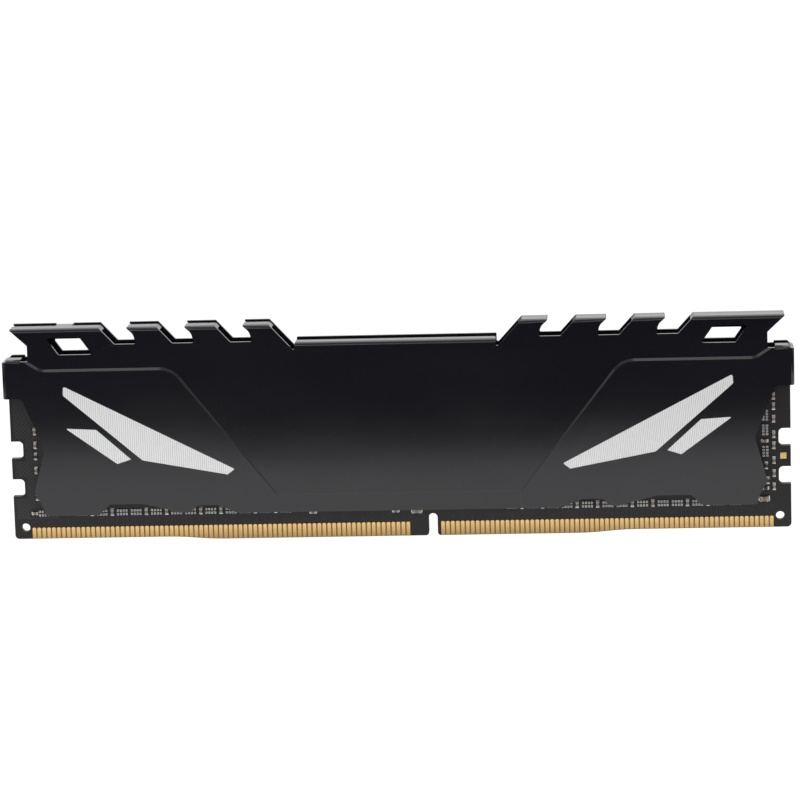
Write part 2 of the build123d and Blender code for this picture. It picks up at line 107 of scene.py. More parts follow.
TRACK_JOGS = (0.22, -0.18, 0.0, 0.3, -0.26)
FAN_REACH = 30.0                 # tracks nearer to the middle than this lean outwards
FAN_RUN = 1.1
FIRST_BEND = 0.35
VIA_RADIUS = 0.24
MESH_PITCH = 0.5                 # hatched copper at the card's left end
MESH_LINE = 0.24
MESH_WIDTH = 7.2
MESH_HEIGHTS = (4.0, 26.2)
MESH_MARGIN = 0.5                # between the hatched copper and the card's side
NOTCH_DEPTH = 1.9                # it steps back this far at the two latch notches
NOTCH_HEIGHTS = ((7.6, 11.4), (14.2, 18.0))
KEEP_OUT = 0.35                  # bare space round each part in the hatched copper


# --- materials ------------------------------------------------------------------------------
class Look:
    """A material being built: one Principled shader, and calls that add nodes to it."""

    def __init__(self, name, color, roughness, metallic=0.0, **settings):
        self.material = bpy.data.materials.new(name)
        self.material.use_nodes = True
        self.tree = self.material.node_tree
        self.shader = self.tree.nodes["Principled BSDF"]
        self.place = self.tree.nodes.new("ShaderNodeTexCoord").outputs["Object"]
        self.shader.inputs["Base Color"].default_value = (*color, 1)
        self.shader.inputs["Roughness"].default_value = roughness
        self.shader.inputs["Metallic"].default_value = metallic
        for socket, value in settings.items():
            self.shader.inputs[socket.replace("_", " ")].default_value = value

    def node(self, kind, inputs=None, **settings):
        """Add a node; each input is a value or another node's output."""
        made = self.tree.nodes.new("ShaderNode" + kind)
        for name, value in settings.items():
            setattr(made, name, value)
        for name, value in (inputs or {}).items():
            if isinstance(value, bpy.types.NodeSocket):
                self.tree.links.new(value, made.inputs[name])
            else:
                made.inputs[name].default_value = value
        return made

    def stretched(self, x, y, z):
        """The object's coordinates, scaled along each axis."""
        return self.node("Mapping", {"Vector": self.place, "Scale": (x, y, z)}).outputs["Vector"]

    def noise(self, size, detail=2.0, place=None):
        """Noise with features of about that size in millimetres."""
        inputs = {"Vector": place or self.place, "Scale": 1 / (size * MM), "Detail": detail}
        return self.node("TexNoise", inputs).outputs["Fac"]

    def waves(self, pitch, direction, distortion):
        """Soft bands across one axis, that pitch in millimetres apart."""
        inputs = {"Vector": self.place, "Scale": 0.314 / (pitch * MM), "Distortion": distortion}
        return self.node("TexWave", inputs, bands_direction=direction).outputs["Fac"]

    def ramp(self, value, *stops):
        """Colour or grey ramp through (position, colour) stops."""
        made = self.node("ValToRGB", {"Fac": value})
        elements = made.color_ramp.elements
        while len(elements) < len(stops):
            elements.new(0.5)
        for element, (position, color) in zip(elements, stops):
            element.position = position
            shade = (color,) * 3 if isinstance(color, (int, float)) else color
            element.color = (*shade, 1)
        return made.outputs["Color"]

    def math(self, operation, a, b):
        """Result of one sum on two values or outputs."""
        return self.node("Math", {0: a, 1: b}, operation=operation).outputs[0]

    def mix(self, share, a, b):
        """Colour a, turning into b as share goes from 0 to 1."""
        made = self.node("Mix", {0: share}, data_type="RGBA")
        for socket, value in ((6, a), (7, b)):
            if isinstance(value, bpy.types.NodeSocket):
                self.tree.links.new(value, made.inputs[socket])
            else:
                made.inputs[socket].default_value = (*value, 1)
        return made.outputs[2]

    def bump(self, height, depth, below=None):
        """Relief of that depth in millimetres, on top of another bump if one is given."""
        inputs = {"Height": height, "Distance": depth * MM, "Strength": 1.0}
        if below:
            inputs["Normal"] = below
        return self.node("Bump", inputs).outputs["Normal"]

    def wire(self, **outputs):
        """Link outputs to the shader and hand the finished material over."""
        for socket, output in outputs.items():
            self.tree.links.new(output, self.shader.inputs[socket.replace("_", " ")])
        return self.material


def coating_material():
    """Satin black coat on aluminium sheet: fine grain, faint waviness and handling marks."""
    look = Look("spreader_coating", (0.0087, 0.0085, 0.0115), 0.15, IOR=1.57)
    cloud = look.noise(26, 3)
    color = look.mix(cloud, (0.0073, 0.0071, 0.0099), (0.0102, 0.0098, 0.0132))
    specks = look.ramp(look.noise(0.35, 0), (0.79, 0.0), (0.82, 1.0))
    color = look.mix(specks, color, (0.017, 0.017, 0.019))
    grain = look.noise(0.09, 1)
    smears = look.ramp(look.noise(1, 3, look.stretched(0.05, 0.3, 0.11)), (0.3, 0.12), (0.7, 0.17))
    roughness = look.math("ADD", smears, look.math("MULTIPLY", grain, 0.03))
    relief = look.bump(look.noise(9, 1), 0.010)
    relief = look.bump(grain, 0.0012, relief)
    return look.wire(Base_Color=color, Roughness=roughness, Normal=relief)


def edge_material():
    """The coat on the punched edges, where it is thinner and worn, and lighter in colour as a painted
    highlight.
    """
    look = Look("worn_coating_edge_and_highlight", (0.1, 0.1, 0.105), 0.3, IOR=1.5)
    color = look.mix(look.noise(0.7, 3), (0.09, 0.09, 0.094), (0.2, 0.2, 0.205))
    return look.wire(Base_Color=color, Normal=look.bump(look.noise(0.15, 2), 0.004))


def machined_material():
    """Bright aluminium, cut through the black coat in fine grooves."""
    look = Look("machined_aluminium", (0.95, 0.96, 0.95), 0.55, 0.05, IOR=1.5)
    streaks = look.noise(0.05, 3, look.stretched(1, 1, 0.06))
    color = look.mix(streaks, (0.88, 0.885, 0.88), (1.0, 1.0, 0.995))
    roughness = look.ramp(look.noise(0.4, 2), (0.3, 0.45), (0.7, 0.62))
    return look.wire(Base_Color=color, Roughness=roughness, Normal=look.bump(streaks, 0.004))


def shaded_groove_material():
    """The grooves between the bright lines, coloured darker as painted shade for the shade inside them.
    """
    look = Look("machined_groove_painted_shade", (0.5, 0.51, 0.51), 0.6, 0.05, IOR=1.5)
    streaks = look.noise(0.05, 3, look.stretched(1, 1, 0.1))
    color = look.mix(streaks, (0.6, 0.61, 0.61), (0.82, 0.83, 0.83))
    return look.wire(Base_Color=color, Normal=look.bump(streaks, 0.004))


def gold_material():
    """Hard gold on copper, with faint insertion scratches along Z, and painted shade darkening its lower
    ends.
    """
    look = Look("contact_gold", (0.66, 0.46, 0.2), 0.3, 1.0)
    tint = look.noise(0.9, 2)
    unshaded_gold = look.mix(tint, (0.755, 0.48, 0.18), (0.92, 0.61, 0.255))
    height = look.node("SeparateXYZ", {"Vector": look.place}).outputs["Z"]
    # painted shade: the gold is coloured darker towards its lower ends, standing in for the shade near
    # the floor
    shade_share = look.node("MapRange", {"Value": height, "From Min": GOLD_SHADE_HEIGHTS[0] * MM,
                                    "From Max": GOLD_SHADE_HEIGHTS[1] * MM}).outputs["Result"]
    color = look.mix(shade_share, (0.42, 0.28, 0.11), unshaded_gold)
    scratches = look.noise(0.035, 2, look.stretched(1, 1, 0.05))
    roughness = look.ramp(scratches, (0.35, 0.24), (0.7, 0.42))
    return look.wire(Base_Color=color, Roughness=roughness, Normal=look.bump(scratches, 0.0015))


def substrate_material():
    """Bare laminate between the contacts, where the solder mask is left off."""
    look = Look("bare_substrate", (0.2, 0.12, 0.045), 0.5, IOR=1.5)
    color = look.mix(look.noise(0.4, 3), (0.16, 0.095, 0.036), (0.25, 0.155, 0.06))
    return look.wire(Base_Color=color, Normal=look.bump(look.noise(0.1, 2), 0.006))


def mask_material(name, dark, light):
    """Black solder mask: slightly uneven, with the weave of the glass cloth showing faintly."""
    look = Look(name, light, 0.4, IOR=1.43)
    weave = look.math("MULTIPLY", look.waves(0.45, "X", 0.6), look.waves(0.45, "Z", 0.6))
    color = look.mix(look.noise(2.5, 4), dark, light)
    relief = look.bump(weave, 0.002)
    relief = look.bump(look.noise(0.3, 2), 0.003, relief)
    roughness = look.ramp(look.noise(4, 2), (0.3, 0.34), (0.7, 0.46))
    return look.wire(Base_Color=color, Roughness=roughness, Normal=relief)


def laminate_material():
    """Cut edge of the glass-fibre laminate, with its layers."""
    look = Look("laminate_edge", (0.1, 0.07, 0.035), 0.7)
    color = look.mix(look.waves(0.2, "Y", 0.4), (0.06, 0.04, 0.022), (0.14, 0.1, 0.055))
    fibres = look.noise(0.06, 2, look.stretched(0.3, 1, 0.3))
    color = look.mix(fibres, color, (0.18, 0.13, 0.075))
    return look.wire(Base_Color=color, Normal=look.bump(fibres, 0.01))


def mould_material():
    """Matte moulding compound of the chips."""
    look = Look("chip_mould", (0.022, 0.022, 0.024), 0.62, IOR=1.5)
    grain = look.noise(0.05, 2)
    color = look.mix(look.noise(1.5, 3), (0.017, 0.017, 0.019), (0.03, 0.03, 0.032))
    roughness = look.ramp(grain, (0.3, 0.55), (0.7, 0.7))
    return look.wire(Base_Color=color, Roughness=roughness, Normal=look.bump(grain, 0.004))


def pad_material():
    """Soft grey silicone, filled with ceramic powder."""
    look = Look("pad_silicone", (0.36, 0.38, 0.41), 0.8)
    color = look.mix(look.noise(0.12, 3), (0.3, 0.32, 0.35), (0.44, 0.46, 0.49))
    return look.wire(Base_Color=color, Normal=look.bump(look.noise(0.2, 3), 0.02))


def tin_material():
    """Tinned ends of the small parts, and solder."""
    look = Look("tinned_ends", (0.97, 0.96, 0.94), 0.3, 0.3)
    color = look.mix(look.noise(0.2, 2), (0.93, 0.92, 0.9), (1.0, 1.0, 0.99))
    roughness = look.ramp(look.noise(0.08, 2), (0.3, 0.22), (0.7, 0.4))
    return look.wire(Base_Color=color, Roughness=roughness, Normal=look.bump(look.noise(0.1, 2), 0.004))


def ceramic_material():
    """Tan dielectric of the capacitors."""
    look = Look("capacitor_ceramic", (0.2, 0.14, 0.08), 0.45)
    color = look.mix(look.noise(0.15, 3), (0.15, 0.1, 0.055), (0.27, 0.2, 0.12))
    return look.wire(Base_Color=color, Normal=look.bump(look.noise(0.05, 2), 0.003))


def glaze_material():
    """Black glaze over the resistors."""
    look = Look("resistor_glaze", (0.012, 0.012, 0.014), 0.3)
    color = look.mix(look.noise(0.3, 2), (0.008, 0.008, 0.01), (0.022, 0.022, 0.024))
    return look.wire(Base_Color=color, Normal=look.bump(look.noise(0.08, 2), 0.003))


COATING = coating_material()
WORN_EDGE_AND_HIGHLIGHT = edge_material()
MACHINED = machined_material()
SHADED_GROOVE = shaded_groove_material()
GOLD = gold_material()
SUBSTRATE = substrate_material()
MASK = mask_material("solder_mask", (0.004, 0.0035, 0.0042), (0.0085, 0.0072, 0.0085))
MASKED_COPPER = mask_material("masked_copper", (0.022, 0.02, 0.0225), (0.032, 0.029, 0.032))
MASKED_TRACK = mask_material("masked_track", (0.0115, 0.0102, 0.012), (0.0165, 0.0145, 0.0165))
LAMINATE = laminate_material()
MOULD = mould_material()
PAD = pad_material()
TIN = tin_material()
CERAMIC = ceramic_material()
GLAZE = glaze_material()


# --- mesh helpers ----------------------------------------------------------------------------
def to_object(name, bm, materials, replaces=(), smooth_angle=30.0, even=False):
    """Turn a bmesh into a piece that rides on the module."""
    mesh = bpy.data.meshes.new(name)
    bm.to_mesh(mesh)
    bm.free()
    for material in materials:
        mesh.materials.append(material)
    piece = bpy.data.objects.new(name, mesh)
    bpy.context.scene.collection.objects.link(piece)
    mesh.shade_smooth()
    mesh.set_sharp_from_angle(angle=radians(smooth_angle))
    if even:
        piece.modifiers.new("even_shading", "WEIGHTED_NORMAL").keep_sharp = True
    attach(piece, "root")
    if replaces:
        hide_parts(*replaces)
    return piece


def joined(node):
    """A CAD node's mesh as a bmesh, with its split vertices joined."""
    bm = bmesh.new()
    bm.from_mesh(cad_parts[node].data)
    bmesh.ops.remove_doubles(bm, verts=bm.verts, dist=WELD * MM)
    return bm


def welded(node):
    """A CAD node's mesh as a bmesh, with its split vertices joined and flat faces merged."""
    bm = joined(node)
    bmesh.ops.dissolve_limit(bm, angle_limit=radians(0.5), verts=bm.verts, edges=bm.edges)
    return bm


def solids_of(node):
    """Lowest and highest corner of each separate solid in a CAD node, left to right."""
    bm = joined(node)
    unseen = set(bm.verts)
    boxes = []
    while unseen:
        edge = [unseen.pop()]
        found = []
        while edge:
            vert = edge.pop()
            found.append(vert.co.copy())
            for link in vert.link_edges:
                other = link.other_vert(vert)
                if other in unseen:
                    unseen.remove(other)
                    edge.append(other)
        low = Vector([min(co[i] for co in found) for i in range(3)])
        high = Vector([max(co[i] for co in found) for i in range(3)])
        boxes.append((low, high))
    bm.free()
    return sorted(boxes, key=lambda b: (round(b[0].x, 5), b[0].z))


def cut(bm, place, normal):
    """Cut every face of a mesh along a plane."""
    geom = bm.verts[:] + bm.edges[:] + bm.faces[:]
    bmesh.ops.bisect_plane(bm, geom=geom, dist=1e-7, plane_co=place, plane_no=normal)


def cut_across(bm, distance, lean):
    """Cut a mesh along an upright plane at that x, leaning over by lean for each unit of height."""
    cut(bm, (distance, 0, 0), Vector((1, 0, -lean)).normalized())


def skirted(bm):
    """Turn down the open rim of a flat mesh, and give the new lower vertices."""
    rim = [edge for edge in bm.edges if edge.is_boundary]
    skirt = bmesh.ops.extrude_edge_only(bm, edges=rim)["geom"]
    return {item for item in skirt if isinstance(item, bmesh.types.BMVert)}


def stamp(bm, mesh, matrix):
    """Add a copy of a prototype mesh to a bmesh, placed by a matrix."""
    before = len(bm.verts)
    bm.from_mesh(mesh)
    bm.verts.ensure_lookup_table()
    bmesh.ops.transform(bm, matrix=matrix, verts=bm.verts[before:])


def rounded_block(bm, low, high, radius, material=0, segments=2):
    """Box with rounded edges, added to a bmesh."""
    made = bmesh.ops.create_cube(bm, size=1)["verts"]
    size = Vector(high) - Vector(low)
    middle = (Vector(high) + Vector(low)) / 2
    for vert in made:
        vert.co = Vector([middle[i] + vert.co[i] * size[i] for i in range(3)])
    edges = list(dict.fromkeys(edge for vert in made for edge in vert.link_edges))
    faces = list(dict.fromkeys(face for vert in made for face in vert.link_faces))
    made = bmesh.ops.bevel(bm, geom=edges, offset=radius, segments=segments, profile=0.5,
                           affect="EDGES", clamp_overlap=True)
    for face in faces + made["faces"]:
        if face.is_valid:
            face.material_index = material


def fillet_wedge(bm, x, half_width, height, run, direction, material):
    """Solder fillet: a concave slope from a part's end face down to the board."""
    steps = 5
    profile = [(0.0, 0.0)]
    for step in range(steps + 1):
        turn = step / steps * pi / 2
        profile.append((direction * run * (1 - sin(turn)), height * (1 - cos(turn))))
    rows = []
    for side, reach, rise, spread in ((-1, 0.75, 0.2, 1.12), (-1, 1, 1, 0.95),
                                      (1, 1, 1, 0.95), (1, 0.75, 0.2, 1.12)):
        rows.append([bm.verts.new((x + px * reach, py * rise, side * half_width * spread))
                     for px, py in profile])
    faces = []
    for a, b in zip(rows, rows[1:]):
        for i in range(len(profile)):
            j = (i + 1) % len(profile)
            faces.append(bm.faces.new((a[i], a[j], b[j], b[i])))
    faces.append(bm.faces.new(rows[0][::-1]))
    faces.append(bm.faces.new(rows[-1]))
    for face in faces:
        face.material_index = material


def prototype(name, build, *sizes):
    """Mesh of one small part: X along it, Y away from the board and Z across it."""
    bm = bmesh.new()
    build(bm, *sizes)
    bmesh.ops.recalc_face_normals(bm, faces=bm.faces)
    mesh = bpy.data.meshes.new(name)
    bm.to_mesh(mesh)
    bm.free()
    return mesh


def chip_part(bm, length, width, height):
    """Chip capacitor or resistor: body (0), tinned caps and solder (1)."""
    cap, swell, lift = length * 0.25, 0.02 * MM, 0.02 * MM
    rounded_block(bm, (-length / 2 + swell, lift, -width / 2 + swell),
                  (length / 2 - swell, height - swell, width / 2 - swell), 0.02 * MM, 0)
    for end in (-1, 1):
        near, far = sorted((end * (length / 2 - cap), end * length / 2))
        rounded_block(bm, (near, lift / 2, -width / 2), (far, height, width / 2), 0.05 * MM, 1, 3)
        fillet_wedge(bm, end * (length / 2 - 0.02 * MM), width / 2, height * 0.7,
                     SOLDER_RUN * MM, end, 1)


def array_part(bm, length, width, height):
    """Four resistors in one body (0), with tinned terminals along both sides (1)."""
    pitch = length / 4
    inset, sunk, reach = 0.1 * MM, 0.07 * MM, 0.36 * MM
    rounded_block(bm, (-length / 2, 0.02 * MM, -width / 2 + inset),
                  (length / 2, height - sunk, width / 2 - inset), 0.03 * MM, 0)
    for place in range(4):
        x = (place - 1.5) * pitch
        for side in (-1, 1):
            near, far = sorted((side * (width / 2 - reach), side * width / 2))
            rounded_block(bm, (x - pitch * 0.29, 0.01 * MM, near), (x + pitch * 0.29, height, far),
                          0.06 * MM, 1, 2)


def place_parts(node, material, build, name):
    """Build every small part of a CAD node in detail, where the node has it."""
    bm = bmesh.new()
    meshes = {}
    for low, high in solids_of(node):
        size, middle = high - low, (low + high) / 2
        side = 1 if middle.y > 0 else -1
        upright = size.z > size.x
        length, width = (size.z, size.x) if upright else (size.x, size.z)
        key = (round(length / MM, 2), round(width / MM, 2), round(size.y / MM, 2))
        if key not in meshes:
            meshes[key] = prototype(name, build, length, width, size.y)
        foot = Vector((middle.x, low.y if side > 0 else high.y, middle.z))
        turn = Matrix.Rotation(pi if side < 0 else 0, 4, "X")
        if upright:
            turn = Matrix.Rotation(pi / 2, 4, "Y") @ turn
        stamp(bm, meshes[key], Matrix.Translation(foot) @ turn)
    return to_object(name, bm, [material, TIN], [node], 40)


# --- heat spreader ------------------------------------------------------------------------------
def is_cut_edge(edge, face_y):
    """A sharp outer edge of the sheet that gets rounded, away from the shallow hatched beds."""
    if len(edge.link_faces) != 2 or edge.calc_face_angle(0) < radians(35):
        return False
    bed = [abs(abs(vert.co.y) - face_y) < 1.2 * BED_DEPTH * MM for vert in edge.verts]
    end = edge.verts[0].co
    inward = abs(end.x) < BED_REACH * MM and BED_HEIGHTS[0] * MM < end.z < BED_HEIGHTS[1] * MM
    return not (all(bed) and inward)


def spreader_piece(name, node):
    """The stamped sheet with its cut edges slightly rounded."""
    bm = welded(node)
    face_y = max(abs(v.co.y) for v in bm.verts)
    edges = [edge for edge in bm.edges if is_cut_edge(edge, face_y)]
    # the rounded cut edges get the edge material, whose lighter colour is partly wear and partly a
    # painted highlight
    bmesh.ops.bevel(bm, geom=edges, offset=SHEET_EDGE * MM, segments=2, profile=0.5,
                    affect="EDGES", clamp_overlap=True, material=1)
    return to_object(name, bm, [COATING, WORN_EDGE_AND_HIGHLIGHT], [node], 50, True)


def hatch_beds(node):
    """The floors of the shallow beds machined into a sheet's two side panels."""
    bm = welded(node)
    face_y = max(abs(v.co.y) for v in bm.verts)
    side = 1 if "back" in node else -1
    bed_y = side * (face_y - BED_DEPTH * MM)
    centres = {face: face.calc_center_median() for face in bm.faces}
    unwanted = [face for face, centre in centres.items()
                if abs(centre.y - bed_y) > 0.004 * MM or abs(face.normal.y) < 0.99
                or abs(centre.x) < SIDE_PANEL * MM]
    bmesh.ops.delete(bm, geom=unwanted, context="FACES")
    return bm, side


def off_middle(x, pitch):
    """How far x is from the nearest multiple of pitch."""
    return abs((x + pitch / 2) % pitch - pitch / 2)


def hatch_piece(name, node):
    """Bright marks: flat lines with a V-groove after each, cut across the beds."""
    bm, side = hatch_beds(node)
    pitch, half = HATCH_PITCH * MM, GROOVE_WIDTH / 2 * MM
    widest = max(abs(v.co.x) for v in bm.verts)
    count = int(widest / pitch) + 6
    right = [face for face in bm.faces if face.calc_center_median().x > 0]
    parts = {0: bm, GROOVE_SLANT: bm.copy()}
    bmesh.ops.delete(bm, geom=right, context="FACES")
    other = parts[GROOVE_SLANT]
    left = [face for face in other.faces if face.calc_center_median().x < 0]
    bmesh.ops.delete(other, geom=left, context="FACES")
    for lean, part in parts.items():
        for i in range(-count, count + 1):
            for offset in (-half, 0, half):
                cut_across(part, i * pitch + offset, lean)
        low = skirted(part)
        for face in part.faces:
            middle = face.calc_center_median()
            # groove faces get the darker groove material: painted shade
            face.material_index = 1 if off_middle(middle.x - middle.z * lean, pitch) < half else 0
        for vert in part.verts:
            away = off_middle(vert.co.x - vert.co.z * lean, pitch)
            if vert in low:
                vert.co.y -= side * 0.01 * MM
            else:
                vert.co.y += side * HATCH_RISE * MM * (0.2 + 0.8 * min(away / half, 1))
    mesh = bpy.data.meshes.new(name)
    other.to_mesh(mesh)
    other.free()
    bm.from_mesh(mesh)
    return to_object(name, bm, [MACHINED, SHADED_GROOVE], (), 5)


for side_name in ("front", "back"):
    sheet = side_name + "_heat_spreader"
    spreader_piece(side_name + "_spreader_sheet", sheet)
    hatch_piece(side_name + "_hatched_marks", sheet)


# --- circuit board -------------------------------------------------------------------------------
def contact_groups():
    """Lowest and highest corner of each unbroken run of contacts."""
    boxes = solids_of("front_contacts")
    pitch = boxes[1][0].x - boxes[0][0].x
    groups = []
    for low, high in boxes:
        if groups and low.x - groups[-1][1].x < pitch:
            groups[-1][1].x = high.x
        else:
            groups.append((low.copy(), high.copy()))
    return groups


def board_piece():
    """Laminate with rounded routed edges; solder mask covers its faces, but not the contact rows."""
    bm = welded("circuit_board")
    edges = [e for e in bm.edges if len(e.link_faces) == 2 and e.calc_face_angle(0) > radians(60)
             and abs(e.verts[0].co.y - e.verts[1].co.y) < 0.01 * MM]
    bmesh.ops.bevel(bm, geom=edges, offset=BOARD_EDGE * MM, segments=1, profile=0.5,
                    affect="EDGES", clamp_overlap=True)
    groups = contact_groups()
    top = groups[0][1].z - MASK_GAP * MM
    cuts = [((0, 0, top), (0, 0, 1))]
    cuts += [((corner.x, 0, 0), (1, 0, 0)) for group in groups for corner in group]
    for place, normal in cuts:
        cut(bm, place, normal)
    for face in bm.faces:
        middle = face.calc_center_median()
        in_row = middle.z < top and any(low.x < middle.x < high.x for low, high in groups)
        if abs(face.normal.y) < 0.3 or (in_row and face.normal.z < -0.3):
            face.material_index = 1
        elif in_row:
            face.material_index = 2
        else:
            face.material_index = 0
    return to_object("circuit_board_laminate", bm, [MASK, LAMINATE, SUBSTRATE],
                     ["circuit_board"], 50, True)


def board_face():
    """How far the card's faces are from its mid-plane."""
    return max(v.co.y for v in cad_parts["circuit_board"].data.vertices)


def ribbon(bm, points, width, base, rise):
    """Flat track through (x, z) points, standing out of the face at base by rise."""
    rows = []
    for i, (x, z) in enumerate(points):
        before, after = points[max(i - 1, 0)], points[min(i + 1, len(points) - 1)]
        along = Vector((after[0] - before[0], after[1] - before[1])).normalized()
        across = Vector((-along.y, along.x)) * width / 2
        rows.append([bm.verts.new((x + share * across.x, y, z + share * across.y))
                     for share, y in ((-1, base), (-0.8, base + rise), (0.8, base + rise), (1, base))])
    for a, b in zip(rows, rows[1:]):
        for i in range(3):
            bm.faces.new((a[i], a[i + 1], b[i + 1], b[i]))


def dome(bm, x, z, radius, base, rise):
    """Low round swelling on the face at base, such as a covered via."""
    sides = 10
    rings = []
    for reach, height in ((1.0, 0.0), (0.7, 1.0)):
        rings.append([bm.verts.new((x + radius * reach * cos(i / sides * 2 * pi), base + rise * height,
                                    z + radius * reach * sin(i / sides * 2 * pi)))
                      for i in range(sides)])
    for i in range(sides):
        j = (i + 1) % sides
        bm.faces.new((rings[0][i], rings[0][j], rings[1][j], rings[1][i]))
    bm.faces.new(rings[1])


def tracks_piece(side_name, side):
    """Copper tracks from each contact up under the sheet, with covered vias between them."""
    bm = bmesh.new()
    base, rise = side * board_face(), side * TRACE_RISE * MM
    for number, (low, high) in enumerate(solids_of(side_name + "_contacts")):
        x, foot = (low.x + high.x) / 2, high.z
        jog = TRACK_JOGS[number % len(TRACK_JOGS)] * MM
        bend = (FIRST_BEND + 0.25 * (number % 3)) * MM
        top = foot + (TRACK_LENGTH + 0.6 * (number % 4 == 1)) * MM
        if abs(x) < FAN_REACH * MM:
            bend = FIRST_BEND * MM
            jog = FAN_RUN * MM * (1 if x > 0 else -1)
        points = [(x, foot - 0.1 * MM), (x, foot + bend), (x + jog, foot + bend + abs(jog)),
                  (x + jog, top)]
        if number % 4 == 3:
            points = [(x, foot - 0.1 * MM), (x, foot + 2 * bend)]
            dome(bm, x, foot + 2 * bend + 0.15 * MM, VIA_RADIUS * MM, base, 1.5 * rise)
        ribbon(bm, points, TRACE_WIDTH * MM, base, rise)
    bmesh.ops.recalc_face_normals(bm, faces=bm.faces)
    return to_object(side_name + "_tracks", bm, [MASKED_TRACK])


def parts_boxes(side):
    """Corners of every small part on one face of the card."""
    boxes = []
    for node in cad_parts:
        if "capacitor" in node or "resistor" in node or node in ("test_pad", "spd_chip"):
            boxes += [box for box in solids_of(node) if (box[0].y + box[1].y) * side > 0]
    return boxes


def strip_outline():
    """Area of hatched copper at the card's left end, clear of its edge, notches and hole."""
    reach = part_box("circuit_board")[1][0] - MESH_MARGIN * MM
    inner, notch = reach - MESH_WIDTH * MM, reach - NOTCH_DEPTH * MM
    bottom, top = MESH_HEIGHTS
    steps = [(inner, bottom), (inner, top), (reach, top)]
    for low, high in reversed(NOTCH_HEIGHTS):
        steps += [(reach, high), (notch, high), (notch, low), (reach, low)]
    steps.append((reach, bottom))
    return [(-x, z * MM) for x, z in steps]


def hatched_copper(side_name, side):
    """Ground copper hatched with lines both ways, open round the small parts."""
    bm = bmesh.new()
    bm.faces.new([bm.verts.new((x, 0, z)) for x, z in strip_outline()])
    pitch, line = MESH_PITCH * MM, MESH_LINE * MM
    reach = max(abs(v.co.x) + v.co.z for v in bm.verts)
    count = int(reach / pitch) + 1
    for lean in (-1, 1):
        normal = Vector((1, 0, lean)).normalized()
        for i in range(-count, count + 1):
            for offset in (0, line):
                cut(bm, normal * (i * pitch + offset), normal)
    boxes = parts_boxes(side)
    gap = KEEP_OUT * MM
    dropped = []
    for face in bm.faces:
        middle = face.calc_center_median()
        open_both = all((middle.x + lean * middle.z) / 2 ** 0.5 % pitch > line for lean in (-1, 1))
        near = any(low.x - gap < middle.x < high.x + gap and low.z - gap < middle.z < high.z + gap
                   for low, high in boxes)
        if open_both or near:
            dropped.append(face)
    bmesh.ops.delete(bm, geom=dropped, context="FACES")
    low = skirted(bm)
    for vert in bm.verts:
        vert.co.y = side * (board_face() + (0 if vert in low else TRACE_RISE * MM))
    bmesh.ops.recalc_face_normals(bm, faces=bm.faces)
    return to_object(side_name + "_hatched_copper", bm, [MASKED_COPPER])


board_piece()
for side_name, side in (("front", -1), ("back", 1)):
    tracks_piece(side_name, side)
    hatched_copper(side_name, side)


# --- contacts, chips and pads -----------------------------------------------------------------------
def dress(node, material, bevel):
    """A CAD node that keeps its shape gets its material and slightly rounded edges."""
    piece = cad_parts[node]
    piece.data.materials.clear()
    piece.data.materials.append(material)
    weld = piece.modifiers.new("weld", "WELD")
    weld.merge_threshold = WELD * MM
    rounding = piece.modifiers.new("rounding", "BEVEL")
    rounding.width = bevel * MM
    rounding.segments = 2
    rounding.limit_method = "ANGLE"
    rounding.angle_limit = radians(40)


def pad_piece(side_name):
    """Silicone pad: its long edges are squeezed out a little over each chip, its rim is rounded."""
    node = side_name + "_thermal_pad"
    bm = welded(node)
    low, high = [Vector(corner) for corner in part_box(node)]
    step = PAD_STEP * MM
    for i in range(int(low.x / step), int(high.x / step) + 1):
        cut_across(bm, i * step, 0)
    chips = [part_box(f"{side_name}_memory_chip_{number}") for number in CHIPS]
    for vert in bm.verts:
        pressed = any(chip[0][0] < vert.co.x < chip[1][0] for chip in chips)
        drawn_in = PAD_WAVE * MM * (0.35 + 0.3 * noise.noise(vert.co / (3 * MM)) + 0.5 * (not pressed))
        if vert.co.z < low.z + 0.01 * MM:
            vert.co.z += drawn_in
        elif vert.co.z > high.z - 0.01 * MM:
            vert.co.z -= drawn_in
    rim = [edge for edge in bm.edges if len(edge.link_faces) == 2
           and edge.calc_face_angle(0) > radians(50)]
    bmesh.ops.bevel(bm, geom=rim, offset=PAD_EDGE * MM, segments=3, profile=0.5, affect="EDGES",
                    clamp_overlap=True)
    return to_object(side_name + "_silicone_pad", bm, [PAD], [node], 50, True)


for side_name in ("front", "back"):
    dress(side_name + "_contacts", GOLD, CONTACT_EDGE)
    for number in CHIPS:
        dress(f"{side_name}_memory_chip_{number}", MOULD, CHIP_EDGE)
    pad_piece(side_name)
dress("spd_chip", MOULD, CHIP_EDGE)
dress("test_pad", GOLD, CONTACT_EDGE)

for node in sorted(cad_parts):
    if "array" in node:
        place_parts(node, GLAZE, array_part, node + "_detailed")
    elif "resistors" in node:
        place_parts(node, GLAZE, chip_part, node + "_detailed")
    elif "capacitors" in node:
        place_parts(node, CERAMIC, chip_part, node + "_detailed")


# --- stage, light and camera ---------------------------------------------------------------------------
def glow_material(name, grey, strength):
    """Pale surface that gives off its own light."""
    look = Look(name, (grey,) * 3, 0.9)
    look.shader.inputs["Emission Color"].default_value = (1, 1, 1, 1)
    look.shader.inputs["Emission Strength"].default_value = strength
    return look.material


def plane(name, z, material):
    """Level square that belongs to the stage."""
    bm = bmesh.new()
    corners = ((-1, -1), (1, -1), (1, 1), (-1, 1))
    bm.faces.new([bm.verts.new((x * FLOOR_HALF * MM, y * FLOOR_HALF * MM, z * MM)) for x, y in corners])
    mesh = bpy.data.meshes.new(name)
    bm.to_mesh(mesh)
    bm.free()
    mesh.materials.append(material)
    made = bpy.data.objects.new(name, mesh)
    bpy.context.scene.collection.objects.link(made)
    return made


